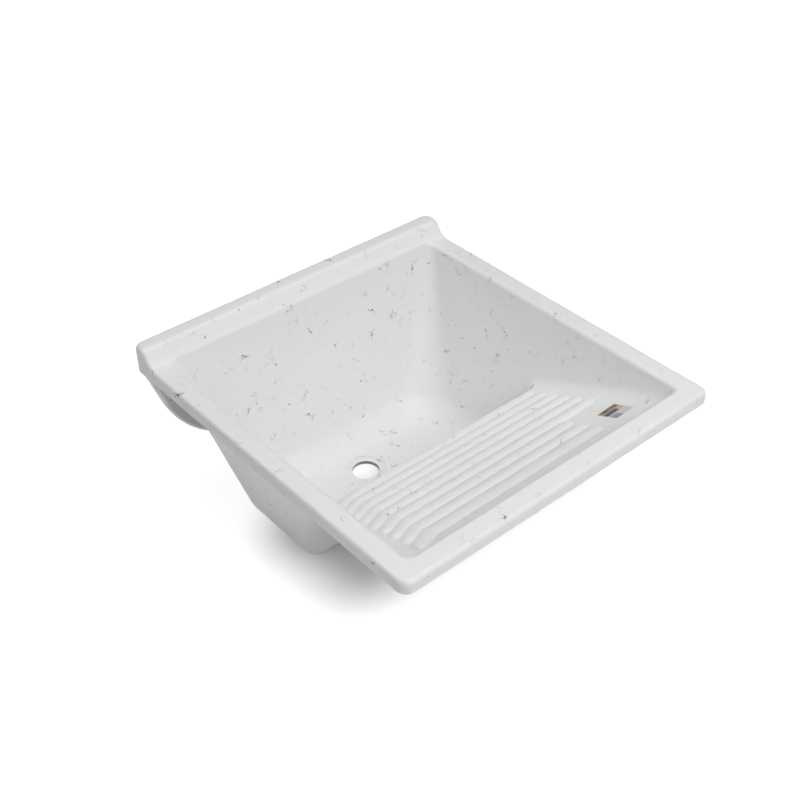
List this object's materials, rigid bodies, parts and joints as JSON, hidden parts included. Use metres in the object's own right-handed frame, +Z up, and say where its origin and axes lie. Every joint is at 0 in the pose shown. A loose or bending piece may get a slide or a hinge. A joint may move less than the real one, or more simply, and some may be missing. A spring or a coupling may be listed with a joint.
{
  "type": "wall-hung laundry tub",
  "caption": "Wall-hung laundry tub in marbled resin: square rim, deep tapered bowl with a drain hole, sloping ribbed washboard, upstand and rounded back panel with screw holes.",
  "frame": {"origin": "centre of the face that meets the wall, at the height of the rim", "axes": "+Z up, +Y into the wall, +X to the right as seen by someone who stands at the tub"},
  "size_m": [0.556, 0.582, 0.2885],
  "materials": {
    "marbled_gelcoat": "glossy white gelcoat with sparse fine dark veins and flecks",
    "bare_resin": "matt off-white filled resin, as laid up by hand",
    "label_print": "satin printed label with plain colour blocks"
  },
  "bodies": {
    "root": {"tub": "marbled_gelcoat", "wall_panel": "marbled_gelcoat", "web_left": "bare_resin", "web_right": "bare_resin", "label": "label_print"}
  },
  "joints": []
}
